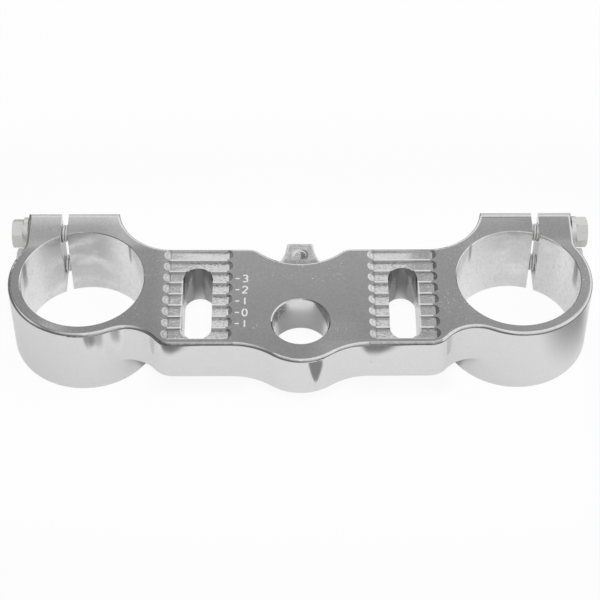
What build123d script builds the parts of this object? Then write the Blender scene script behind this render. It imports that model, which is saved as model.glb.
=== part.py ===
from build123d import *
import math
import os

# Upper triple clamp: +X is the rider's right, +Y the front of the motorcycle, +Z up.
# The origin is on the stem axis, at the face that seats on the stem's shoulder.

# Fork tubes and steering stem
fork_spacing = 193.0  # between the two fork axes
fork_offset = 25.0  # fork axes ahead of the stem axis
fork_bore_d = 55.0
stem_bore_d = 25.0
stem_recess_d = 34.0  # shallow counterbore for the stem's shoulder
stem_recess = 2.4
stem_rim = 0.5  # chamfer on the stem bore's upper edge

# Heights and walls
plate_thickness = 22.0
ring_height = 37.6
ring_wall = 5.3
ring_foot = 0.8  # chamfer round the foot of the rings and lugs
edge_round = 1.5  # round along the top outline
bore_rim = 0.3  # chamfer on the fork bores' upper edges

# Plan of the plate
front_edge = 42.5  # straight front edge, ahead of the stem axis
dip_edge = 33.9  # lowest point of the dip in the front edge
dip_radius = 27.5
dip_shoulder = 8.0
rear_edge = 12.9  # straight rear edge, behind the stem axis
rear_edge_half = 56.0  # where the rear edge starts to turn to the neck
rear_corner = 10.0
neck_radius = 16.0
nose_radius = 22.4  # boss round the stem
nose_blend = 30.0

# Pinch lugs, their slits and their bolts
lug_front = 64.5
lug_outboard = 26.6  # outer lug face, outboard of the fork axis
lug_inboard = 14.7  # inner lug corner, inboard of the fork axis
lug_arc = 25.0  # hollow between the front edge and the lug's corner
lug_cheek = 2.0  # straight run from the hollow to the lug's corner
lug_blend = 8.0
lug_step = 1.2  # the lower lug stands back from the plate's corner
slit_width = 3.2
slit_outboard = 10.0
bolt_ahead = 58.6  # bolt axes ahead of the stem axis
bolt_below_top = 7.3
bolt_spacing = 20.2
bolt_d = 8.0
bolt_length = 35.0
bolt_clearance = 0.25  # radial, in the outer lug
thread_clearance = 0.05  # radial, in the tapped inner lug
thread_spare = 3.0  # tapped depth beyond the bolt's end
head_flats = 12.0
head_height = 5.3
head_bevel = 0.5  # bevel round the head's outer face
head_turns = (21.0, 37.0, 46.0, 8.0)  # as tightened: left high, left low, right high, right low
washer_d = 14.5
washer_thickness = 2.0
washer_clearance = 0.2

# Riser slots and the index grooves across them
riser_spacing = 90.4
riser_slot_width = 13.0
riser_slot_rear = 9.5  # rear end of the slots, behind the stem axis
riser_slot_front = 31.5
groove_count = 8
groove_pitch = 6.5
groove_land = 0.8
groove_depth = 1.0
groove_length = 30.8
groove_middle = 15.95  # middle of the groove field, ahead of the stem axis

# Front tab with its tapped hole
tab_width = 12.0  # at the tip
tab_front = 52.0
tab_flare = 21.5  # radius of the hollow sides
tab_sweep = 70.0  # how far round each side runs into the plate
tab_corner = 1.2
tab_thickness = 8.0
tab_drop = 7.0  # below the plate's top face
tab_edge = 0.6  # chamfer along the tab's upper edges
tab_hole_d = 5.0
tab_hole_setback = 7.3
tab_hole_rim = 0.3

# Levels and places worked out from the sizes above
underside = -stem_recess
top = underside + plate_thickness
ring_bottom = top - ring_height
ring_r = fork_bore_d / 2 + ring_wall
fork_x = fork_spacing / 2
lug_outer_x = fork_x + lug_outboard
lug_inner_x = fork_x - lug_inboard
lug_foot_x = lug_inner_x + lug_step
slit_x = fork_x + slit_outboard
slit_length = lug_front - fork_offset
slit_middle = fork_offset + slit_length / 2
bolt_high = top - bolt_below_top
bolt_low = bolt_high - bolt_spacing
bolt_axes = ((bolt_ahead, bolt_high), (bolt_ahead, bolt_low))
bolt_seat_x = lug_outer_x + washer_thickness
bolt_end_x = bolt_seat_x - bolt_length
riser_x = riser_spacing / 2
riser_slot_length = riser_slot_front + riser_slot_rear
riser_slot_middle = (riser_slot_front - riser_slot_rear) / 2
tab_top = top - tab_drop
cut = 1.0  # how far a cutting tool runs past a face
bolt_places = (
    Location((-bolt_seat_x, bolt_ahead, bolt_high), (head_turns[0], 0, 180)),
    Location((-bolt_seat_x, bolt_ahead, bolt_low), (head_turns[1], 0, 180)),
    Location((bolt_seat_x, bolt_ahead, bolt_high), (head_turns[2], 0, 0)),
    Location((bolt_seat_x, bolt_ahead, bolt_low), (head_turns[3], 0, 0)),
)


def touch(centre_a, radius_a, centre_b):
    """Return the point where circle a touches a circle about centre b outside it."""
    dx = centre_b[0] - centre_a[0]
    dy = centre_b[1] - centre_a[1]
    reach = math.hypot(dx, dy)
    return (centre_a[0] + radius_a * dx / reach, centre_a[1] + radius_a * dy / reach)


def tangent_centre(centre_a, reach_a, centre_b, reach_b):
    """Return the centre that lies reach_a from a and reach_b from b, on the rear side."""
    dx = centre_b[0] - centre_a[0]
    dy = centre_b[1] - centre_a[1]
    gap = math.hypot(dx, dy)
    along = (gap**2 + reach_a**2 - reach_b**2) / (2 * gap)
    aside = math.sqrt(reach_a**2 - along**2)
    return (
        centre_a[0] + (along * dx + aside * dy) / gap,
        centre_a[1] + (along * dy - aside * dx) / gap,
    )


# Centres of the arcs in the right half of the plan
fork = (fork_x, fork_offset)
stem = (0, 0)
dip = (0, dip_edge + dip_radius)
shoulder_y = front_edge - dip_shoulder
shoulder = (math.sqrt((dip_radius + dip_shoulder)**2 - (dip[1] - shoulder_y)**2), shoulder_y)
lug_arc_y = front_edge + lug_arc
lug_reach = math.hypot(lug_arc, lug_cheek)
lug_arc_x = lug_inner_x - math.sqrt(lug_reach**2 - (lug_arc_y - lug_front)**2)
lug_turn = math.asin((lug_arc_y - lug_front) / lug_reach) + math.atan2(lug_cheek, lug_arc)
lug_arc_end = (lug_arc_x + lug_arc * math.cos(lug_turn), lug_arc_y - lug_arc * math.sin(lug_turn))
lug_corner = (lug_inner_x, lug_front)
ring_rear = (fork_x, fork_offset - ring_r)
blend_x = lug_outer_x + lug_blend
blend = (blend_x, fork_offset + math.sqrt((ring_r + lug_blend)**2 - (blend_x - fork_x)**2))
corner = (rear_edge_half, rear_corner - rear_edge)
neck = tangent_centre(corner, rear_corner + neck_radius, fork, ring_r + neck_radius)
nose_y = -rear_edge - nose_blend
nose = (math.sqrt((nose_radius + nose_blend)**2 - nose_y**2), nose_y)

# Front tab with a tapped hole, milled from the same billet in the dip of the front edge
with BuildPart() as front_tab:
    tab_half = tab_width / 2
    sweep = math.radians(tab_sweep)
    tab_root_x = tab_half + tab_flare * (1 - math.cos(sweep))
    tab_root_y = tab_front - tab_flare * math.sin(sweep)
    with BuildSketch(Plane.XY.offset(tab_top - tab_thickness)) as tab_plan:
        with BuildLine():
            Line((0, tab_front), (tab_half, tab_front))
            RadiusArc((tab_half, tab_front), (tab_root_x, tab_root_y), -tab_flare)
            Line((tab_root_x, tab_root_y), (0, dip_edge - tab_thickness))
            mirror(about=Plane.YZ)
        make_face()
        fillet(tab_plan.vertices().group_by(Axis.Y)[-1], tab_corner)
    extrude(amount=tab_thickness)
    chamfer(front_tab.edges().group_by(Axis.Z)[-1], tab_edge)
    with Locations((0, tab_front - tab_hole_setback, tab_top)):
        CounterSinkHole(tab_hole_d / 2, tab_hole_d / 2 + tab_hole_rim, counter_sink_angle=90)

# One groove's cutter: round in plan, with a floor that ramps out over each round end
with BuildPart() as groove_cutter:
    groove_width = groove_pitch - groove_land
    groove_half = groove_length / 2
    groove_flat = groove_half - groove_width / 2
    with BuildSketch(Plane.XY.offset(-groove_depth)):
        SlotOverall(groove_length, groove_width)
    extrude(amount=groove_depth + cut)
    with BuildSketch(Plane.XZ):
        with BuildLine():
            Polyline(
                (-groove_flat, -groove_depth),
                (groove_flat, -groove_depth),
                (groove_half, 0),
                (groove_half, cut),
                (-groove_half, cut),
                (-groove_half, 0),
                close=True,
            )
        make_face()
    extrude(amount=groove_width, both=True, mode=Mode.INTERSECT)

# Clamp body: machined from one billet, with a split ring for each fork tube
with BuildPart() as clamp_body:
    # Plate, with the rings and lugs in one tangent outline, rounded along its top edge
    with BuildSketch(Plane.XY.offset(underside)):
        with BuildLine():
            RadiusArc((0, dip_edge), touch(dip, dip_radius, shoulder), -dip_radius)
            RadiusArc(touch(shoulder, dip_shoulder, dip), (shoulder[0], front_edge), dip_shoulder)
            Line((shoulder[0], front_edge), (lug_arc_x, front_edge))
            RadiusArc((lug_arc_x, front_edge), lug_arc_end, -lug_arc)
            Line(lug_arc_end, lug_corner)
            Line(lug_corner, (lug_outer_x, lug_front))
            Line((lug_outer_x, lug_front), (lug_outer_x, blend[1]))
            RadiusArc((lug_outer_x, blend[1]), touch(fork, ring_r, blend), -lug_blend)
            ThreePointArc(touch(fork, ring_r, blend), ring_rear, touch(fork, ring_r, neck))
            RadiusArc(touch(fork, ring_r, neck), touch(corner, rear_corner, neck), -neck_radius)
            RadiusArc(touch(corner, rear_corner, neck), (corner[0], -rear_edge), rear_corner)
            Line((corner[0], -rear_edge), (nose[0], -rear_edge))
            RadiusArc((nose[0], -rear_edge), touch(stem, nose_radius, nose), -nose_blend)
            RadiusArc(touch(stem, nose_radius, nose), (0, -nose_radius), nose_radius)
            mirror(about=Plane.YZ)
        make_face()
    extrude(amount=plate_thickness)
    fillet(clamp_body.edges().group_by(Axis.Z)[-1], edge_round)

    # Fork rings and their pinch lugs go on below the plate
    with BuildSketch(Plane.XY.offset(ring_bottom)):
        with Locations(fork):
            Circle(ring_r)
        with BuildLine():
            Polyline(fork, (lug_foot_x, fork_offset), (lug_foot_x, lug_front))
            Line((lug_foot_x, lug_front), (lug_outer_x, lug_front))
            Line((lug_outer_x, lug_front), (lug_outer_x, blend[1]))
            RadiusArc((lug_outer_x, blend[1]), touch(fork, ring_r, blend), -lug_blend)
            Line(touch(fork, ring_r, blend), fork)
        make_face()
        mirror(about=Plane.YZ)
    extrude(amount=ring_height - plate_thickness)
    foot_faces = clamp_body.faces().filter_by(Plane.XY).group_by(Axis.Z)[0]
    chamfer(foot_faces.edges(), ring_foot)

    # Front tab, in the dip of the front edge
    add(front_tab.part)

    # Bores for the fork tubes and the stem
    with Locations((-fork_x, fork_offset, top), (fork_x, fork_offset, top)):
        CounterSinkHole(fork_bore_d / 2, fork_bore_d / 2 + bore_rim, counter_sink_angle=90)
    with Locations((0, 0, top)):
        CounterSinkHole(stem_bore_d / 2, stem_bore_d / 2 + stem_rim, counter_sink_angle=90)
    with BuildSketch(Plane.XY.offset(underside)):
        Circle(stem_recess_d / 2)
    extrude(amount=stem_recess, mode=Mode.SUBTRACT)

    # Slits that let the rings close on the tubes
    with BuildSketch(Plane.XY.offset(ring_bottom)):
        with Locations((-slit_x, slit_middle), (slit_x, slit_middle)):
            Rectangle(slit_width, slit_length)
    extrude(amount=ring_height, mode=Mode.SUBTRACT)

    # Pinch bolt holes: clear through the outer lug, tapped into the inner lug
    for side in (-1, 1):
        with BuildSketch(Plane.YZ.offset(side * lug_outer_x)):
            with Locations(*bolt_axes):
                Circle(bolt_d / 2 + bolt_clearance)
        extrude(amount=-side * (lug_outer_x - slit_x), mode=Mode.SUBTRACT)
        with BuildSketch(Plane.YZ.offset(side * slit_x)):
            with Locations(*bolt_axes):
                Circle(bolt_d / 2 + thread_clearance)
        extrude(amount=-side * (slit_x - bolt_end_x + thread_spare), mode=Mode.SUBTRACT)

    # Riser slots through the plate, and the index grooves that cross them
    with BuildSketch(Plane.XY.offset(underside)):
        with Locations((-riser_x, riser_slot_middle), (riser_x, riser_slot_middle)):
            SlotOverall(riser_slot_length, riser_slot_width, rotation=90)
    extrude(amount=plate_thickness, mode=Mode.SUBTRACT)
    with Locations((0, groove_middle, top)):
        with GridLocations(riser_spacing, groove_pitch, 2, groove_count):
            add(groove_cutter.part, mode=Mode.SUBTRACT)

# One pinch bolt along +X: hex head outboard of the origin, shank towards -X
with BuildPart() as pinch_bolt:
    with BuildSketch(Plane.YZ):
        RegularPolygon(head_flats / 2, 6, major_radius=False)
    extrude(amount=head_height)
    chamfer(pinch_bolt.edges().group_by(Axis.X)[-1], head_bevel)
    with BuildSketch(Plane.YZ):
        Circle(bolt_d / 2)
    extrude(amount=-bolt_length)

# The four pinch bolts, heads outboard on their washers
with BuildPart() as pinch_bolts:
    with Locations(*bolt_places):
        add(pinch_bolt.part)

# The four flat washers under the bolt heads
with BuildPart() as pinch_washers:
    for side in (-1, 1):
        with BuildSketch(Plane.YZ.offset(side * lug_outer_x)):
            with Locations(*bolt_axes):
                Circle(washer_d / 2)
                Circle(bolt_d / 2 + washer_clearance, mode=Mode.SUBTRACT)
        extrude(amount=side * washer_thickness)

os.makedirs("parts", exist_ok=True)
clamp_body.part.label = "clamp_body"
export_step(clamp_body.part, "parts/clamp_body.step")
pinch_bolts.part.label = "pinch_bolts"
export_step(pinch_bolts.part, "parts/pinch_bolts.step")
pinch_washers.part.label = "pinch_washers"
export_step(pinch_washers.part, "parts/pinch_washers.step")
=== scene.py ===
"""Motorcycle triple clamp: a polished upper fork clamp with its pinch bolts, washers and riser scale."""
import math

import bmesh
import bpy
import numpy as np
from mathutils import Matrix


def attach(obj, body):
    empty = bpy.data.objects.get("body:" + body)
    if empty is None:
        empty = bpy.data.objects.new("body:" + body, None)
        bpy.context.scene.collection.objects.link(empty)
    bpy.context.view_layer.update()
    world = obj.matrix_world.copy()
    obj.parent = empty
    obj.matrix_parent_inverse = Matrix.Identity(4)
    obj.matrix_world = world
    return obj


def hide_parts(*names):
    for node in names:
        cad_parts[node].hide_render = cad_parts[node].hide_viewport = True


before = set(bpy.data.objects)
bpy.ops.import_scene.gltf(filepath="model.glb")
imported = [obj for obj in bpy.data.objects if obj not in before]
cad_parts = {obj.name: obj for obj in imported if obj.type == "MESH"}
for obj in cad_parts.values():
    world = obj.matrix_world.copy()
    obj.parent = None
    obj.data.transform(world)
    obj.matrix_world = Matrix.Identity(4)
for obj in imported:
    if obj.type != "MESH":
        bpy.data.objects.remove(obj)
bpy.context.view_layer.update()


# Clamp body: plate, stem boss, split fork rings and front tab, machined from one aluminium billet.
# The outer faces are buffed to a mirror, the bores are honed, and the index grooves and the tab
# keep the marks of the milling cutter. The imported solid is shown as it is, with this finish, and
# with shade, dark reflections and highlights painted into its colour.
def grey(tone):
    """A neutral colour: the same tone for red, green and blue."""
    return (tone, tone, tone, 1.0)


body_reflectance, mopped_reflectance = grey(0.74), grey(0.81)
# The bright tone below serves the specks and the painted highlights, the dark one the painted shade
speck_and_highlight_tone, painted_shade_tone = grey(0.92), grey(0.45)
# The darkest tone on this line and on the next is a painted dark reflection in the bores
honed_reflectance, flecked_reflectance, painted_bore_reflection_tone = grey(0.94), grey(0.62), grey(0.44)
reamed_reflectance, painted_stem_reflection_tone = grey(0.84), grey(0.42)
satin_reflectance = grey(0.68)
top_level = 19.6
fork_axis_x, fork_axis_y, fork_bore_r = 96.5, 25.0, 27.5
stem_bore_r = 12.5
# The second value is where a painted line of shade runs along the lugs' front edges
lug_inner_x, lug_shade_line_y = 78.0, 62.75
riser_x, groove_half_length, groove_ramp = 45.2, 15.4, 2.85
groove_middle_y, groove_field_half, groove_pitch, groove_floor_level = 15.95, 26.0, 6.5, 18.6
land_half_length = 12.8
riser_slot_y, riser_slot_straight, riser_slot_r = 11.0, 14.0, 6.5
tab_hole_y, tab_front, tab_side_x, tab_side_r = 44.7, 52.0, 27.5, 21.5
tab_root_x, tab_root_y, tab_top_level = 24.0, 33.0, 13.0


def join(tree, kind, inputs=(), **options):
    """Adds one shader node, sets its options, and feeds each named input with a value or a socket."""
    made = tree.nodes.new(kind)
    for option, setting in options.items():
        setattr(made, option, setting)
    for place, source in dict(inputs).items():
        if isinstance(source, bpy.types.NodeSocket):
            tree.links.new(source, made.inputs[place])
        else:
            made.inputs[place].default_value = source
    return made


def work(tree, operation, first, second=0.0):
    """One arithmetic step on two numbers."""
    return join(tree, "ShaderNodeMath", {0: first, 1: second}, operation=operation).outputs[0]


def gap(tree, value, middle):
    """How far value lies from middle, on either side: the size of their difference."""
    return work(tree, "ABSOLUTE", work(tree, "SUBTRACT", value, middle))


def product(tree, *masks):
    """All masks multiplied together."""
    total = masks[0]
    for mask in masks[1:]:
        total = work(tree, "MULTIPLY", total, mask)
    return total


def total_of(tree, *parts):
    """All parts added up."""
    total = parts[0]
    for part in parts[1:]:
        total = work(tree, "ADD", total, part)
    return total


def fade(tree, value, start, end, low=0.0, high=1.0):
    """Goes smoothly from low to high while value goes from start to end, and stays there outside."""
    return join(tree, "ShaderNodeMapRange", {"Value": value, "From Min": start, "From Max": end,
                                             "To Min": low, "To Max": high},
                interpolation_type="SMOOTHSTEP").outputs["Result"]


def blend(tree, factor, first, second):
    """One colour going over to another as factor goes from 0 to 1."""
    return join(tree, "ShaderNodeMix", {"Factor": factor, "A": first, "B": second},
                data_type="RGBA").outputs["Result"]


def millimetres(tree):
    """Object coordinates in millimetres, as one vector and as its three numbers."""
    place = join(tree, "ShaderNodeTexCoord").outputs["Object"]
    scaled = join(tree, "ShaderNodeVectorMath", {0: place, 1: (1000.0, 1000.0, 1000.0)},
                  operation="MULTIPLY").outputs[0]
    return scaled, *join(tree, "ShaderNodeSeparateXYZ", {0: scaled}).outputs


def grain(tree, place, stretch, detail=2.0):
    """Noise around 0.5 whose scale along each axis, in cycles per millimetre, is stretch."""
    stretched = join(tree, "ShaderNodeVectorMath", {0: place, 1: stretch}, operation="MULTIPLY").outputs[0]
    return join(tree, "ShaderNodeTexNoise",
                {"Vector": stretched, "Scale": 1.0, "Detail": detail}).outputs["Fac"]


def distance_from(tree, first, second):
    """Length of the flat vector (first, second)."""
    flat = join(tree, "ShaderNodeCombineXYZ", {0: first, 1: second}).outputs[0]
    return join(tree, "ShaderNodeVectorMath", {0: flat}, operation="LENGTH").outputs["Value"]


def finish(name, base_color, metallic=1.0):
    """A metal finish in one plain colour, until more is linked: its material, node tree and shader."""
    made = bpy.data.materials.new(name)
    made.use_nodes = True
    tree = made.node_tree
    shader = tree.nodes["Principled BSDF"]
    shader.inputs["Base Color"].default_value = base_color
    shader.inputs["Metallic"].default_value = metallic
    return made, tree, shader


def emboss(tree, shader, height, distance, **start):
    """Tips the shader's normal as a surface raised by height times distance, in metres, would be."""
    raised = join(tree, "ShaderNodeBump", {"Height": height, "Strength": 1.0, "Distance": distance, **start})
    tree.links.new(raised.outputs["Normal"], shader.inputs["Normal"])


polished_billet, tree, shader = finish("polished_billet", body_reflectance)
place, x, y, z = millimetres(tree)
side_x = work(tree, "ABSOLUTE", x)
square = join(tree, "ShaderNodeNewGeometry").outputs["Normal"]
facing_x, facing_y, facing_z = join(tree, "ShaderNodeSeparateXYZ", {0: square}).outputs
towards_rider = fade(tree, facing_y, -0.3, -0.8)
under_top = fade(tree, z, top_level - 0.01, top_level - 0.04)
on_top = work(tree, "SUBTRACT", 1.0, under_top)

# Where the finish changes: honed fork bores, reamed stem bore, lugs, satin tab, and the groove field with
# its cut floors and polished lands
from_fork = distance_from(tree, work(tree, "SUBTRACT", side_x, fork_axis_x),
                          work(tree, "SUBTRACT", y, fork_axis_y))
honed = fade(tree, from_fork, fork_bore_r + 0.25, fork_bore_r + 0.1)
reamed = fade(tree, distance_from(tree, x, y), stem_bore_r + 0.3, stem_bore_r + 0.1)
lugs = fade(tree, side_x, lug_inner_x, lug_inner_x + 2.0)
left_lugs = fade(tree, x, -lug_inner_x, -lug_inner_x - 2.0)
right_lugs = fade(tree, x, lug_inner_x, lug_inner_x + 2.0)
satin = product(tree, fade(tree, side_x, tab_root_x, tab_root_x - 1.0),
                fade(tree, y, tab_root_y, tab_root_y + 1.0),
                fade(tree, z, tab_top_level + 0.2, tab_top_level))
along_groove = work(tree, "SUBTRACT", x, work(tree, "MULTIPLY", work(tree, "SIGN", x), riser_x))
from_groove_middle = work(tree, "ABSOLUTE", along_groove)
in_field = product(tree, fade(tree, from_groove_middle, groove_half_length + 0.1, groove_half_length - 0.1),
                   fade(tree, gap(tree, y, groove_middle_y), groove_field_half, groove_field_half - 0.2),
                   fade(tree, z, groove_floor_level - 0.2, groove_floor_level - 0.05))
floors = product(tree, in_field, under_top, fade(tree, facing_z, 0.5, 0.8))
lands = product(tree, in_field, on_top,
                fade(tree, from_groove_middle, land_half_length, land_half_length - 0.6))

# Painted highlights on the tab's edges: its bevel, its hollow sides and its front
tab_bevel_highlight = product(tree, satin, fade(tree, facing_z, 0.92, 0.85), fade(tree, facing_z, 0.3, 0.4))
from_side = distance_from(tree, work(tree, "SUBTRACT", side_x, tab_side_x),
                          work(tree, "SUBTRACT", y, tab_front))
tab_border_highlight = product(tree, satin, work(tree, "MAXIMUM",
                                       fade(tree, from_side, tab_side_r + 1.5, tab_side_r + 0.9, 0.0, 0.9),
                                       fade(tree, y, tab_front - 1.8, tab_front - 1.0, 0.0, 0.8)))

# Painted shade and dark reflections, in this order: the floors' round left ends, the groove walls that face
# the rider, a line along the lugs' front edges, the field's near edge, the feet and heads of the ramps, the
# floors towards the right, left and near ends, and the tab behind its hole
ramp_start = groove_ramp - groove_half_length
first_groove_y = groove_middle_y - groove_field_half + groove_pitch / 2
across_groove = work(tree, "PINGPONG", work(tree, "SUBTRACT", y, first_groove_y), groove_pitch / 2)
end_ring = distance_from(tree, work(tree, "SUBTRACT", along_groove, ramp_start), across_groove)
end_arc = product(tree, fade(tree, gap(tree, end_ring, 1.8), 0.45, 0.15),
                  fade(tree, along_groove, ramp_start - 0.3, ramp_start - 0.6))
painted_shade = total_of(
    tree,
    product(tree, floors, end_arc, 0.5),
    product(tree, in_field, under_top, towards_rider, fade(tree, y, 41.0, 40.0, 0.0, 0.8)),
    product(tree, lugs, fade(tree, gap(tree, y, lug_shade_line_y), 0.45, 0.25, 0.0, 0.5),
            fade(tree, facing_z, 0.3, 0.5)),
    product(tree, under_top, fade(tree, y, -9.0, -10.0), fade(tree, from_groove_middle, 16.5, 15.5),
            fade(tree, facing_z, 0.25, 0.5),
            fade(tree, grain(tree, place, (0.9, 0.9, 0.9)), 0.3, 0.6, 0.5, 1.0)),
    product(tree, floors, fade(tree, gap(tree, along_groove, ramp_start + 0.1), 0.55, 0.2, 0.0, 0.6)),
    product(tree, floors, fade(tree, along_groove, 13.5, 13.8, 0.0, 0.7)),
    product(tree, floors, total_of(tree, fade(tree, x, 46.0, 53.0, 0.0, 0.5),
                                   fade(tree, x, -49.0, -56.0, 0.0, 0.15),
                                   fade(tree, y, -3.0, -6.0, 0.0, 0.25))),
    product(tree, satin, fade(tree, y, 42.4, 40.8, 0.0, 0.8)))

# Painted dark reflections in the fork bores: round each slit, and a narrow streak down both sides of each bore
painted_bore_reflection = product(tree, honed, fade(tree, y, 40.0, 46.0), fade(tree, side_x, 76.0, 92.0),
                 fade(tree, z, -18.0, 14.0, 0.4, 0.85), fade(tree, side_x, 122.0, 108.0, 0.3, 1.0),
                 fade(tree, x, -50.0, 50.0, 1.0, 0.55),
                 fade(tree, grain(tree, place, (0.06, 0.06, 0.10)), 0.20, 0.58))
for streak_x, foot in ((122.9, 3.0), (76.4, 7.0)):
    streak = product(tree, honed, fade(tree, gap(tree, side_x, streak_x), 0.9, 0.3),
                     fade(tree, z, foot, foot + 6.0), fade(tree, y, 20.0, 24.0))
    painted_bore_reflection = work(tree, "ADD", painted_bore_reflection, streak)

# Bright specks in the buffed top, in loose clusters, and a faint mottling all over
specks = fade(tree, grain(tree, place, (1.5, 1.5, 1.5), 1.0), 0.68, 0.73)
clusters = fade(tree, grain(tree, place, (0.05, 0.05, 0.05)), 0.48, 0.62)
pitted = product(tree, specks, clusters, on_top)
mottle = product(tree, fade(tree, grain(tree, place, (0.9, 0.9, 0.9), 4.0), 0.3, 0.7),
                 fade(tree, facing_z, 0.2, 0.9, 0.35, 1.0))

# Fine flecks in the honed bores, and a painted highlight along the slots' outer rims and the foremost grooves
flecked = product(tree, honed, fade(tree, grain(tree, place, (0.9, 0.9, 0.5), 4.0), 0.45, 0.7, 0.0, 0.35))
past_straight = work(tree, "SUBTRACT", gap(tree, y, riser_slot_y), riser_slot_straight)
from_slot = distance_from(tree, along_groove, work(tree, "MAXIMUM", past_straight, 0.0))
slot_rim_highlight = product(tree, fade(tree, from_slot, riser_slot_r + 0.9, riser_slot_r + 0.5),
                    fade(tree, z, 17.0, 18.0), fade(tree, side_x, 49.0, 51.0), fade(tree, y, 25.0, 22.0), 0.6)
front_wall = product(tree, fade(tree, y, 41.6, 41.8), fade(tree, from_groove_middle, 15.5, 15.3),
                     towards_rider, fade(tree, z, 18.3, 18.6))
painted_rim_highlight = work(tree, "ADD", slot_rim_highlight, front_wall)

# Painted dark reflections in the stem bore: a slanting band on the right and a patch on the left
below_top = work(tree, "SUBTRACT", top_level, z)
slant = work(tree, "SUBTRACT", work(tree, "MULTIPLY", work(tree, "SUBTRACT", x, 5.0), 1.25), below_top)
painted_stem_left_patch = product(tree, fade(tree, x, -6.0, -7.5), fade(tree, below_top, 1.0, 2.5),
                     fade(tree, below_top, 10.0, 7.0),
                     fade(tree, grain(tree, place, (0.8, 0.8, 0.8)), 0.4, 0.6))
painted_stem_reflection = product(tree, reamed, fade(tree, y, 2.0, 4.0),
                  total_of(tree, fade(tree, slant, -0.6, 0.6, 0.0, 0.9), painted_stem_left_patch))

# The base colour: the buffed metal, with the other finishes, the marks, and the painted shade, dark
# reflections and highlights laid over it in turn
colour = blend(tree, mottle, body_reflectance, mopped_reflectance)
for mask, tone in ((honed, honed_reflectance), (reamed, reamed_reflectance), (painted_stem_reflection, painted_stem_reflection_tone),
                   (flecked, flecked_reflectance), (painted_bore_reflection, painted_bore_reflection_tone), (satin, satin_reflectance),
                   (pitted, speck_and_highlight_tone), (painted_shade, painted_shade_tone),
                   (tab_bevel_highlight, speck_and_highlight_tone), (painted_rim_highlight, speck_and_highlight_tone),
                   (tab_border_highlight, speck_and_highlight_tone)):
    colour = blend(tree, mask, colour, tone)
tree.links.new(colour, shader.inputs["Base Color"])

# The rear walls are taken as rolled back under the top edge by the mop, in wedges that narrow downwards:
# middle, drift, reach to the left and right, foot, rise, and how far the wall leans
on_wall = product(tree, fade(tree, facing_z, 0.8, 0.3), fade(tree, y, 10.0, 0.0))
rolled_off = 0.0
for middle, drift, left, right, foot, rise, amount in (
        (-58.6, 0.0, 4.5, 16.0, 3.0, 16.0, 0.42), (30.8, 0.0, 9.0, 20.0, 3.0, 16.0, 0.42),
        (-92.4, 1.2, 4.0, 4.0, -2.0, 18.0, 0.34), (-87.6, 0.6, 4.6, 4.6, -4.0, 18.0, 0.31),
        (-80.7, 1.2, 5.2, 5.2, -4.0, 18.0, 0.32)):
    raised = fade(tree, z, foot, foot + rise)
    aside = work(tree, "SUBTRACT", x, fade(tree, z, top_level, foot, middle, middle + drift))
    reach = work(tree, "MAXIMUM", work(tree, "DIVIDE", aside, right), work(tree, "DIVIDE", aside, -left))
    away = work(tree, "DIVIDE", reach, work(tree, "MAXIMUM", raised, 0.05))
    wedge = product(tree, fade(tree, away, 1.0, 0.15), raised, on_wall, amount)
    rolled_off = work(tree, "ADD", rolled_off, wedge)
bore_cloud = work(tree, "SUBTRACT", grain(tree, place, (0.05, 0.05, 0.08)), 0.5)
lean_back = work(tree, "ADD", rolled_off, product(tree, honed, 0.2, bore_cloud))

# Roughness and metal: the buffed faces are the smoothest, the cut or worn ones scatter more, and so do the
# painted highlights
rough = work(tree, "ADD", fade(tree, grain(tree, place, (0.06, 0.06, 0.06), 3.0), 0.3, 0.7, 0.05, 0.10),
             product(tree, rolled_off, 0.4))
matt = 1.0
for mask, added, scatter in ((honed, 0.08, 0.0), (reamed, 0.05, 0.0), (floors, 0.16, 0.1), (satin, 0.2, 0.2),
                             (tab_bevel_highlight, 0.2, 0.6), (painted_rim_highlight, 0.2, 0.6), (pitted, 0.35, 0.0)):
    rough = work(tree, "ADD", rough, work(tree, "MULTIPLY", mask, added))
    matt = work(tree, "SUBTRACT", matt, work(tree, "MULTIPLY", mask, scatter))
tree.links.new(rough, shader.inputs["Roughness"])
tree.links.new(matt, shader.inputs["Metallic"])

# The top is taken as not quite flat after the mop: it leans ahead along the lugs' front edges, on the lands,
# on the left ring's near side and right of the nose, and back on the rings' outer sides, lugs and necks
lean_ahead = 0.0
for amount, *masks in (
        (0.3, fade(tree, y, 61.8, 62.6), left_lugs),
        (0.3, fade(tree, y, 61.4, 61.9), right_lugs),
        (-0.05, fade(tree, gap(tree, y, 61.0), 0.45, 0.2), right_lugs),
        (0.014, fade(tree, y, 54.0, 63.0), lugs),
        (0.14, lands),
        (-0.022, fade(tree, x, -110.0, -124.0), fade(tree, y, 46.0, 40.0)),
        (-0.011, fade(tree, x, -lug_inner_x, -92.0), fade(tree, y, 44.0, 50.0)),
        (-0.007, fade(tree, x, 112.0, 122.0), fade(tree, y, 46.0, 40.0)),
        (-0.010, fade(tree, x, 70.0, 80.0), fade(tree, y, 46.0, 50.0)),
        (-0.018, fade(tree, x, 90.0, 112.0), fade(tree, y, 46.0, 50.0)),
        (0.015, fade(tree, x, -96.0, -108.0), fade(tree, y, 4.0, -3.0)),
        (-0.016, fade(tree, x, -104.0, -92.0), fade(tree, x, -58.0, -66.0), fade(tree, y, 46.0, 40.0)),
        (-0.010, fade(tree, x, 56.0, 62.0), fade(tree, x, 76.0, 70.0)),
        (0.010, fade(tree, x, 2.0, 12.0), fade(tree, x, 28.0, 20.0), fade(tree, y, 4.0, -4.0)),
        (0.012, fade(tree, x, 2.0, 12.0), fade(tree, y, -8.0, -14.0))):
    lean_ahead = work(tree, "ADD", lean_ahead, product(tree, on_top, amount, *masks))

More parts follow.
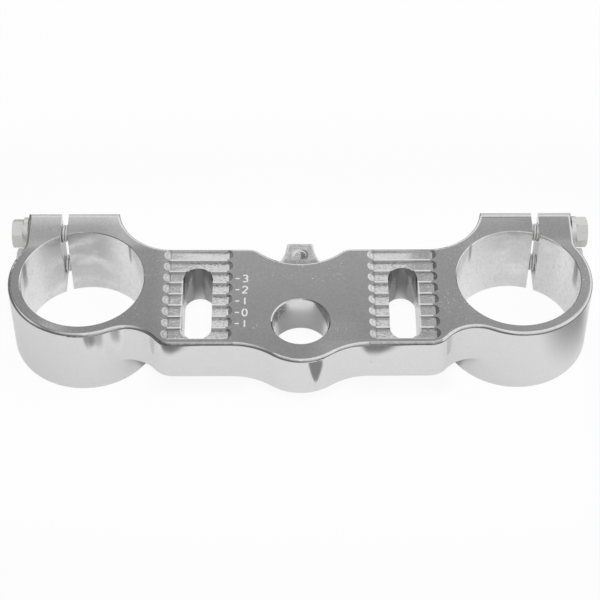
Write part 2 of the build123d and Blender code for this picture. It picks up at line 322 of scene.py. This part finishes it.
# The groove cutter's marks tip the floors ahead and back, and the tab's milled face too
marks = work(tree, "SUBTRACT", grain(tree, place, (0.7, 1.6, 1.6), 3.0), 0.5)
tipped = total_of(tree,
                  product(tree, marks, fade(tree, along_groove, 13.3, 13.7, 0.7, 1.2),
                          fade(tree, y, 35.0, 36.5, 1.0, 0.4)),
                  fade(tree, side_x, 61.0, 36.0, -0.03, 0.085), fade(tree, y, 31.0, 37.0, 0.0, 0.05),
                  fade(tree, x, 44.0, 56.0, 0.0, -0.05),
                  fade(tree, gap(tree, along_groove, 13.3), 0.4, 0.1, 0.0, 0.1))
coarse = work(tree, "SUBTRACT", grain(tree, place, (0.7, 0.9, 0.9), 3.0), 0.5)
lean_ahead = total_of(tree, lean_ahead, product(tree, floors, tipped), product(tree, satin, coarse, 0.45))

# The left ring's outer edge and the right lug's inner edge are taken as rolled over further than the others
rolled_edge = product(tree, fade(tree, z, top_level - 1.7, top_level - 1.4), under_top,
                      fade(tree, facing_x, -0.05, -0.35))
rolled_places = total_of(tree, product(tree, fade(tree, x, 40.0, 70.0), fade(tree, y, 40.0, 45.0)),
                         product(tree, fade(tree, x, -108.0, -118.0), fade(tree, y, 44.0, 38.0)))
lean_right = product(tree, rolled_edge, 0.35, rolled_places)

# The floors are shaded as level almost to their right ends
level_run = product(tree, floors, 0.345, fade(tree, along_groove, 12.3, 12.6),
                    fade(tree, along_groove, 13.9, 13.4))
lean_right = work(tree, "ADD", lean_right, level_run)

# A worn countersink round the tab's hole tips inwards all round
from_tab_hole = work(tree, "SUBTRACT", y, tab_hole_y)
tab_hole_distance = distance_from(tree, x, from_tab_hole)
countersink = product(tree, satin, fade(tree, facing_z, 0.5, 0.8), fade(tree, tab_hole_distance, 3.9, 3.5),
                      -0.75)
lean_right = work(tree, "ADD", lean_right,
                  product(tree, countersink, work(tree, "DIVIDE", x, tab_hole_distance)))
lean_ahead = work(tree, "ADD", lean_ahead,
                  product(tree, countersink, work(tree, "DIVIDE", from_tab_hole, tab_hole_distance)))
leaning = join(tree, "ShaderNodeCombineXYZ", {0: lean_right, 1: lean_ahead, 2: lean_back}).outputs[0]
leant = join(tree, "ShaderNodeVectorMath", {0: square, 1: leaning}, operation="ADD").outputs[0]
rolled = join(tree, "ShaderNodeVectorMath", {0: leant}, operation="NORMALIZE").outputs[0]

# Relief in millimetres: hone lines round the bores, the tab's milled face, the mop's long waves
relief = 0.0
for mask, stretch, detail, height in ((honed, (0.1, 0.1, 3.0), 2.0, 0.010),
                                      (satin, (1.5, 1.5, 1.5), 3.0, 0.03),
                                      (1.0, (0.05, 0.05, 0.05), 1.0, 0.012)):
    relief = work(tree, "ADD", relief, product(tree, mask, height, grain(tree, place, stretch, detail)))
emboss(tree, shader, relief, 0.001, Normal=rolled)
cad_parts["clamp_body"].data.materials[0] = polished_billet


# Pinch bolts: four M8 hexagon bolts of bright zinc-plated steel, two across each ring's slit.
# The head is forged with a bevelled top and a washer face, the thread is rolled, and each bolt
# stands at the angle where it was tightened. They take the place of the plain solids.
zinc_reflectance = (0.66, 0.66, 0.655, 1.0)
zinc_dull, zinc_bright = (0.62, 0.62, 0.615, 1.0), (0.82, 0.82, 0.81, 1.0)
# The first tone below is painted light on the thread, the second painted shade in its roots
thread_light_tone, root_shade_tone = (0.97, 0.97, 0.96, 1.0), grey(0.4)
bolt_seat_x, bolt_y, bolt_z = 125.1, 58.6, (12.3, -7.9)
head_turn = {(-1, 0): 21.0, (-1, 1): 37.0, (1, 0): 46.0, (1, 1): 8.0}
head_height, head_flat_r, head_bevel = 5.3, 6.0, math.radians(25.0)
crown_inset, crown_edge_inset, crown_edge_drop, bevel_drop = 0.5, 0.12, 0.04, 0.1
washer_face_r, washer_face = 5.85, 0.12
bolt_length, plain_length, shank_r = 35.0, 12.6, 3.95
thread_pitch, thread_crest_r, thread_depth, thread_run_in = 1.25, 4.0, 0.65, 1.5
tip_length, tip_start_r, tip_end_r = 0.8, 3.2, 2.9


def skin(name, sheets, sharp_angle, material):
    """Makes one piece from grids of points in millimetres, each (rows, columns, 3) and closed round its
    columns; a grid's first and last rows run to a point or lie on each other, and shared points are merged."""
    corners, faces, start = [], [], 0
    for sheet in sheets:
        rows, columns = sheet.shape[:2]
        index = start + np.arange(rows * columns).reshape(rows, columns)
        beside = np.roll(index, -1, axis=1)
        faces.append(np.stack([index[:-1], beside[:-1], beside[1:], index[1:]], axis=-1).reshape(-1, 4))
        corners.append(sheet.reshape(-1, 3) / 1000.0)
        start += rows * columns
    mesh = bpy.data.meshes.new(name)
    mesh.from_pydata(np.concatenate(corners), [], np.concatenate(faces))
    merged = bmesh.new()
    merged.from_mesh(mesh)
    bmesh.ops.remove_doubles(merged, verts=merged.verts, dist=1e-7)
    bmesh.ops.recalc_face_normals(merged, faces=merged.faces)
    merged.to_mesh(mesh)
    merged.free()
    mesh.polygons.foreach_set("use_smooth", np.ones(len(mesh.polygons), bool))
    mesh.set_sharp_from_angle(angle=math.radians(sharp_angle))
    mesh.materials.append(material)
    piece = bpy.data.objects.new(name, mesh)
    bpy.context.scene.collection.objects.link(piece)
    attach(piece, "root")
    return piece


def bolt_sheet(side, seat_z, turn):
    """A bolt as radius over distance along its axis and angle round it. The head's radius is the hexagon's,
    flat / cos(angle from the flat's middle), and its bevel falls by (that radius - flat) times the slope.
    The thread's radius is a clipped triangle wave of distance / pitch - angle / full turn."""
    angle = np.linspace(0, 2 * np.pi, 48, endpoint=False)
    hexagon = head_flat_r / np.cos(np.mod(angle, np.pi / 3) - np.pi / 6)
    fall = (hexagon - head_flat_r) * np.tan(head_bevel)
    even = np.ones_like(angle)
    head = [(-head_height * even, 0 * even),
            (-head_height * even, (head_flat_r - crown_inset) * even),
            (-head_height * even + crown_edge_drop, (head_flat_r - crown_edge_inset) * even),
            (-head_height + bevel_drop + fall, hexagon),
            (-washer_face - 0.6 * fall, hexagon),
            (-washer_face * even, washer_face_r * even),
            (0 * even, washer_face_r * even),
            (0 * even, shank_r * even),
            (plain_length * even, shank_r * even)]
    along = np.arange(plain_length + 0.15, bolt_length - 0.9, thread_pitch / 8)[:, None]
    wave = np.mod(along / thread_pitch - angle / (2 * np.pi), 1.0)
    ridge = np.clip(1.7 * (1 - np.abs(2 * wave - 1)) - 0.15, 0, 1)
    run_in = np.clip((along - plain_length) / thread_run_in, 0, 1)
    threaded = thread_crest_r - 0.05 - thread_depth * run_in * (1 - ridge)
    tip = [((bolt_length - tip_length) * even, tip_start_r * even),
           (bolt_length * even, tip_end_r * even),
           (bolt_length * even, 0 * even)]
    distance = np.concatenate([[d for d, _ in head], along * even, [d for d, _ in tip]])
    radius = np.concatenate([[r for _, r in head], threaded, [r for _, r in tip]])
    round_axis = angle + side * math.radians(turn)
    return np.stack([side * (bolt_seat_x - distance), bolt_y + radius * np.cos(round_axis),
                     seat_z + side * radius * np.sin(round_axis)], axis=-1)


bright_zinc, tree, shader = finish("bright_zinc", zinc_reflectance, 0.5)
place, x, y, z = millimetres(tree)
bloom = grain(tree, place, (0.8, 0.8, 0.8), 4.0)
# Painted light and shade: the threaded part is painted bright, and its roots are painted dark
painted_thread_light = fade(tree, work(tree, "ABSOLUTE", x), 113.0, 112.0)
off_axis_z = work(tree, "MINIMUM", gap(tree, z, bolt_z[0]), gap(tree, z, bolt_z[1]))
off_axis = distance_from(tree, work(tree, "SUBTRACT", y, bolt_y), off_axis_z)
painted_root_shade = product(tree, painted_thread_light, fade(tree, off_axis, 3.6, 3.4))
tone = blend(tree, bloom, zinc_dull, zinc_bright)
tone = blend(tree, painted_thread_light, tone, thread_light_tone)
tone = blend(tree, painted_root_shade, tone, root_shade_tone)
tree.links.new(tone, shader.inputs["Base Color"])
tree.links.new(fade(tree, bloom, 0.3, 0.7, 0.3, 0.42), shader.inputs["Roughness"])
emboss(tree, shader, grain(tree, place, (1.6, 1.6, 1.6), 3.0), 0.00001)
bolts = skin("hex_pinch_bolts",
             [bolt_sheet(side, bolt_z[row], turn) for (side, row), turn in head_turn.items()],
             32.0, bright_zinc)
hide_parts("pinch_bolts")


# Washers: four flat punched rings of zinc-plated steel under the bolt heads.
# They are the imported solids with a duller, faintly scored plating.
washer_reflectance = (0.64, 0.64, 0.635, 1.0)
washer_dull, washer_bright = (0.70, 0.70, 0.695, 1.0), (0.84, 0.84, 0.83, 1.0)
plated_washer, tree, shader = finish("plated_washer", washer_reflectance, 0.6)
place, x, y, z = millimetres(tree)
bloom = grain(tree, place, (0.4, 0.9, 0.9), 4.0)
tree.links.new(blend(tree, bloom, washer_dull, washer_bright), shader.inputs["Base Color"])
tree.links.new(fade(tree, bloom, 0.3, 0.7, 0.3, 0.45), shader.inputs["Roughness"])
emboss(tree, shader, grain(tree, place, (4.0, 0.4, 0.4)), 0.00001)
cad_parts["pinch_washers"].data.materials[0] = plated_washer


# Tab thread: the M6 thread tapped through the front tab, cut in the aluminium itself.
# It is a ridged sleeve that lines the plain hole, painted bright on its left side and shaded on its right.
tapped_reflectance, tab_thread_shade_tone, tab_thread_light_tone = grey(0.7), grey(0.3), grey(0.95)
tab_hole_r = 2.5
tab_low, tab_high = 4.75, 12.25
tab_pitch, tab_ridge, tab_lead = 1.0, 0.24, 0.6
sleeve_inner, sleeve_outer = 0.02, 0.06


def tapped_sleeve():
    """A closed ring in section: its inner radius is a triangle wave of height / pitch - angle / full turn,
    fading to the plain hole at both ends, and its outer radius lies inside the metal."""
    angle = np.linspace(0, 2 * np.pi, 48, endpoint=False)
    even = np.ones_like(angle)
    height = np.linspace(tab_low, tab_high, 76)[:, None]
    wave = np.mod(height / tab_pitch - angle / (2 * np.pi), 1.0)
    ridge = np.clip(1.3 * (1 - np.abs(2 * wave - 1)) - 0.15, 0, 1)
    lead = np.clip(np.minimum(height - tab_low, tab_high - height) / tab_lead, 0, 1)
    inner = tab_hole_r + sleeve_inner - tab_ridge * lead * ridge
    outer = (tab_hole_r + sleeve_outer) * even[None]
    radius = np.concatenate([inner, outer, outer, inner[:1]])
    level = np.concatenate([height, [[tab_high]], [[tab_low]], height[:1]]) * even
    return np.stack([radius * np.cos(angle), tab_hole_y + radius * np.sin(angle), level], axis=-1)


tapped_metal, tree, shader = finish("tapped_metal", tapped_reflectance, 0.3)
place, x, y, z = millimetres(tree)
chatter = grain(tree, place, (3.0, 3.0, 0.5))
# Painted light and shade: bright on the hole's left side, dark on its right, with the chatter's random tone
lit_side = work(tree, "ADD", fade(tree, x, 1.0, -0.6),
                product(tree, 0.9, work(tree, "SUBTRACT", chatter, 0.5)))
tree.links.new(blend(tree, lit_side, tab_thread_shade_tone, tab_thread_light_tone), shader.inputs["Base Color"])
tree.links.new(fade(tree, chatter, 0.3, 0.7, 0.12, 0.3), shader.inputs["Roughness"])
emboss(tree, shader, chatter, 0.00002)
skin("tab_thread", [tapped_sleeve()], 40.0, tapped_metal)


# Riser scale: dashes and plain numbers cut beside the left grooves with a small engraving tool.
# The tool leaves a bright, rough-bottomed stroke with round ends. Each is drawn as a flat bead that
# stands a hundredth of a millimetre above the polished face, so that the face doesn't hide it.
engraved_reflectance = grey(0.84)
stroke_r, stroke_rise, stroke_step = 0.35, 0.01, 0.12
dash_x = (-28.7, -26.7)
digit_x, digit_half_width, digit_half_height = -24.4, 1.05, 1.95
scale_marks = (("3", 24.6), ("2", 18.1), ("1", 11.57), ("0", 5.0), ("1", -1.3))


def arc(centre, reach, start, end, count=17):
    """Points on an ellipse from one angle to another, in degrees anticlockwise from +X."""
    turn = np.radians(np.linspace(start, end, count))
    return np.stack([centre[0] + reach[0] * np.cos(turn), centre[1] + reach[1] * np.sin(turn)], axis=-1)


digit_paths = {
    "0": arc((0, 0), (1, 1), 90, 450, 41),
    "1": np.array([(0, 1), (0, -1)], float),
    "2": np.concatenate([arc((0, 0.45), (1, 0.55), 165, -35), [(-1, -1)], [(1, -1)]]),
    "3": np.concatenate([arc((0, 0.52), (0.95, 0.48), 150, -80), arc((0, -0.48), (1, 0.52), 80, -150)]),
}


def engraved_stroke(path):
    """A flattened tube: an ellipse carried along the path, square to it, and drawn in to a point
    at both ends over one radius as a half circle is."""
    steps = np.concatenate([[0], np.cumsum(np.hypot(*np.diff(path, axis=0).T))])
    even = np.linspace(0, steps[-1], max(13, int(steps[-1] / stroke_step)))
    line = np.stack([np.interp(even, steps, path[:, 0]), np.interp(even, steps, path[:, 1])], axis=-1)
    along = np.gradient(line, axis=0)
    along /= np.linalg.norm(along, axis=1, keepdims=True)
    across = np.stack([-along[:, 1], along[:, 0]], axis=-1)
    inset = np.clip(np.minimum(even, steps[-1] - even) / stroke_r, 0, 1)
    width = np.sqrt(np.clip(1 - (1 - inset) ** 2, 0, 1))[:, None]
    turn = np.linspace(0, 2 * np.pi, 12, endpoint=False)
    offset = stroke_r * width * np.cos(turn)
    level = top_level + stroke_rise * width * np.sin(turn)
    return np.stack([line[:, :1] + across[:, :1] * offset,
                     line[:, 1:] + across[:, 1:] * offset, level], axis=-1)


strokes = []
for digit, mark_y in scale_marks:
    strokes.append(engraved_stroke(np.array([(dash_x[0], mark_y), (dash_x[1], mark_y)])))
    digit_path = digit_paths[digit] * (digit_half_width, digit_half_height) + (digit_x, mark_y)
    strokes.append(engraved_stroke(digit_path))
engraved_metal, tree, shader = finish("engraved_metal", engraved_reflectance, 0.35)
place, x, y, z = millimetres(tree)
rough_cut = grain(tree, place, (2.4, 2.4, 2.4), 3.0)
tree.links.new(fade(tree, rough_cut, 0.3, 0.7, 0.38, 0.6), shader.inputs["Roughness"])
emboss(tree, shader, rough_cut, 0.00005)
skin("riser_scale", strokes, 60.0, engraved_metal)


# Studio: a plain matt floor under the rings, lit by a soft lamp above the rider's side. To the camera it
# is evenly white with a faint shadow. A dark card on the rider's side of the nose, painted shadow below the
# slots and at the right end, and a painted falloff to darker floor away from the clamp show in the metal.
floor_half, floor_level = 6.0, -0.01801
floor_white, floor_falloff_tone, floor_dark = grey(0.85), grey(0.2), grey(0.08)
clamp_half_length, clamp_middle_y = 110.0, 15.0
card_tip_x, card_tip_y, card_along = 15.4, -34.8, (0.557, -0.831)
card_spread, card_length, card_side, card_shade = 1.1, 14.0, 33.0, 0.78
below_slots_shade, right_end_shade = 0.5, 0.65
lamp_height, lamp_lean = 1.1, math.radians(32.0)
floor_mesh = bpy.data.meshes.new("studio_floor")
floor_mesh.from_pydata([(-floor_half, -floor_half, floor_level), (floor_half, -floor_half, floor_level),
                        (floor_half, floor_half, floor_level), (-floor_half, floor_half, floor_level)],
                       [], [(0, 1, 2, 3)])
floor = bpy.data.objects.new("studio_floor", floor_mesh)
bpy.context.scene.collection.objects.link(floor)
white_floor = bpy.data.materials.new("white_floor")
white_floor.use_nodes = True
tree = white_floor.node_tree
tree.nodes.remove(tree.nodes["Principled BSDF"])
place, x, y, z = millimetres(tree)
side_x = work(tree, "ABSOLUTE", x)
light_path = join(tree, "ShaderNodeLightPath").outputs
# Painted falloff of light: the floor's colour darkens away from the clamp. Painted shadow: darker below the
# slots and at the right end
past_end = work(tree, "MAXIMUM", work(tree, "SUBTRACT", side_x, clamp_half_length), 0.0)
painted_falloff = fade(tree, distance_from(tree, past_end, gap(tree, y, clamp_middle_y)), 62.0, 190.0)
painted_shadow_below_slots = product(tree, fade(tree, gap(tree, side_x, riser_x), 26.0, 17.0),
                      fade(tree, y, -12.0, -6.0), fade(tree, y, 22.0, 12.0), below_slots_shade)
painted_shadow_right_end = product(tree, fade(tree, x, 116.0, 150.0), fade(tree, y, 45.0, 15.0), right_end_shade)

# The card is a triangle that opens away from the nose; the camera sees it only in the metal
from_tip_x = work(tree, "SUBTRACT", x, card_tip_x)
from_tip_y = work(tree, "SUBTRACT", y, card_tip_y)
beyond = work(tree, "ADD", work(tree, "MULTIPLY", from_tip_x, card_along[0]),
              work(tree, "MULTIPLY", from_tip_y, card_along[1]))
beside = work(tree, "ABSOLUTE", work(tree, "SUBTRACT", work(tree, "MULTIPLY", from_tip_y, card_along[0]),
                                     work(tree, "MULTIPLY", from_tip_x, card_along[1])))
opening = work(tree, "DIVIDE", beside, work(tree, "MAXIMUM", beyond, 0.05))
dark_card = product(tree, fade(tree, opening, card_spread + 0.2, card_spread - 0.2),
                    fade(tree, beyond, 0.0, 3.0), fade(tree, beyond, card_length + 6.0, card_length),
                    fade(tree, x, card_side, card_side - 4.0),
                    work(tree, "SUBTRACT", 1.0, light_path["Is Camera Ray"]), card_shade)
dim = work(tree, "MAXIMUM", work(tree, "MAXIMUM", painted_shadow_below_slots, painted_shadow_right_end), dark_card)
outside = work(tree, "MULTIPLY", light_path["Is Camera Ray"], fade(tree, painted_falloff, 0.0, 1.0, 0.93, 0.985))
in_metal = work(tree, "MAXIMUM", light_path["Is Glossy Ray"], light_path["Is Transmission Ray"])
mirrored = product(tree, in_metal, fade(tree, painted_falloff, 0.0, 1.0, 0.12, 0.04),
                   work(tree, "SUBTRACT", 1.0, dim))
even_white = work(tree, "ADD", outside, mirrored)
sheet = blend(tree, dim, blend(tree, painted_falloff, floor_white, floor_falloff_tone), floor_dark)
shaded = join(tree, "ShaderNodeBsdfDiffuse", {"Color": sheet})
glow = join(tree, "ShaderNodeEmission", {"Color": (1, 1, 1, 1), "Strength": 1.0})
both = join(tree, "ShaderNodeMixShader", {0: even_white, 1: shaded.outputs[0], 2: glow.outputs[0]})
tree.links.new(both.outputs[0], tree.nodes["Material Output"].inputs["Surface"])
floor_mesh.materials.append(white_floor)
lamp_light = bpy.data.lights.new("floor_lamp", "SPOT")
lamp_light.energy, lamp_light.shadow_soft_size = 29.0, 0.12
lamp_light.spot_size, lamp_light.spot_blend = math.radians(40.0), 1.0
lamp = bpy.data.objects.new("floor_lamp", lamp_light)
bpy.context.scene.collection.objects.link(lamp)
lamp.matrix_world = (Matrix.Translation((0.0, 0.01, 0.0)) @ Matrix.Rotation(lamp_lean, 4, "X")
                     @ Matrix.Translation((0.0, 0.0, lamp_height)))
lamp.visible_glossy = False

# Studio light by direction: a bright low wall ahead that greys upwards, lighter to the right than to the
# left, a soft box overhead with a brighter strip, a box and a panel on the right, a small glint ahead, and
# a dim room behind. No direction is brighter than the cap, which keeps the polished top from clipping.
light_cap = 0.9
world = bpy.data.worlds.new("studio_light")
bpy.context.scene.world = world
world.use_nodes = True
tree = world.node_tree
towards = join(tree, "ShaderNodeTexCoord").outputs["Generated"]
across, ahead, up = join(tree, "ShaderNodeSeparateXYZ", {0: towards}).outputs


def lobe(tree, azimuth, elevation, inner, outer, strength):
    """A round patch of light: full within inner degrees of its middle, none beyond outer degrees."""
    a, e = math.radians(azimuth), math.radians(elevation)
    middle = (math.sin(a) * math.cos(e), math.cos(a) * math.cos(e), math.sin(e))
    nearness = join(tree, "ShaderNodeVectorMath", {0: towards, 1: middle},
                    operation="DOT_PRODUCT").outputs["Value"]
    return fade(tree, nearness, math.cos(math.radians(outer)), math.cos(math.radians(inner)), 0.0, strength)


wall_sides = work(tree, "ADD", fade(tree, across, -0.42, -0.18, 0.27, 1.0),
                  fade(tree, across, 0.2, 0.55, 0.0, 0.15))
wall_ahead = work(tree, "MULTIPLY", fade(tree, up, 0.80, 0.60, 0.30, 0.87), wall_sides)
room_behind = fade(tree, across, -0.3, 0.5, 0.18, 0.42)
facing = fade(tree, ahead, -0.25, 0.15)
surround = work(tree, "ADD", work(tree, "MULTIPLY", facing, wall_ahead),
                work(tree, "MULTIPLY", work(tree, "SUBTRACT", 1.0, facing), room_behind))
soft_box = lobe(tree, 150, 70, 22, 48, 0.4)
strip = product(tree, fade(tree, work(tree, "ABSOLUTE", across), 0.065, 0.0),
                fade(tree, ahead, -0.1, -0.3), fade(tree, up, 0.55, 0.8, 0.0, 0.9))
left_glint = lobe(tree, -9, 42, 3, 7, 0.27)
right_box = lobe(tree, 55, 72, 4, 32, 0.42)
right_panel = lobe(tree, 100, 25, 10, 32, 0.5)
all_light = total_of(tree, surround, soft_box, right_box, right_panel, strip, left_glint)
background = tree.nodes["Background"]
tree.links.new(work(tree, "MINIMUM", all_light, light_cap), background.inputs["Strength"])
background.inputs["Color"].default_value = (1, 1, 1, 1)

# Camera: above the rider's side, looking down on the stem, at the photograph's angle.
camera_place = (-0.003693, -0.565961, 0.694714)
camera_yaw, camera_pitch, camera_roll = -0.34246, 49.43190, 0.10341
view = bpy.data.cameras.new("camera")
view.lens, view.sensor_width = 121.846, 36.0
view.clip_start, view.clip_end = 0.05, 50.0
camera = bpy.data.objects.new("camera", view)
bpy.context.scene.collection.objects.link(camera)
camera.matrix_world = (Matrix.Translation(camera_place)
                       @ Matrix.Rotation(math.radians(camera_yaw), 4, "Z")
                       @ Matrix.Rotation(math.radians(90.0 - camera_pitch), 4, "X")
                       @ Matrix.Rotation(math.radians(camera_roll), 4, "Z"))
bpy.context.scene.camera = camera
bpy.context.scene.view_settings.view_transform = "Standard"
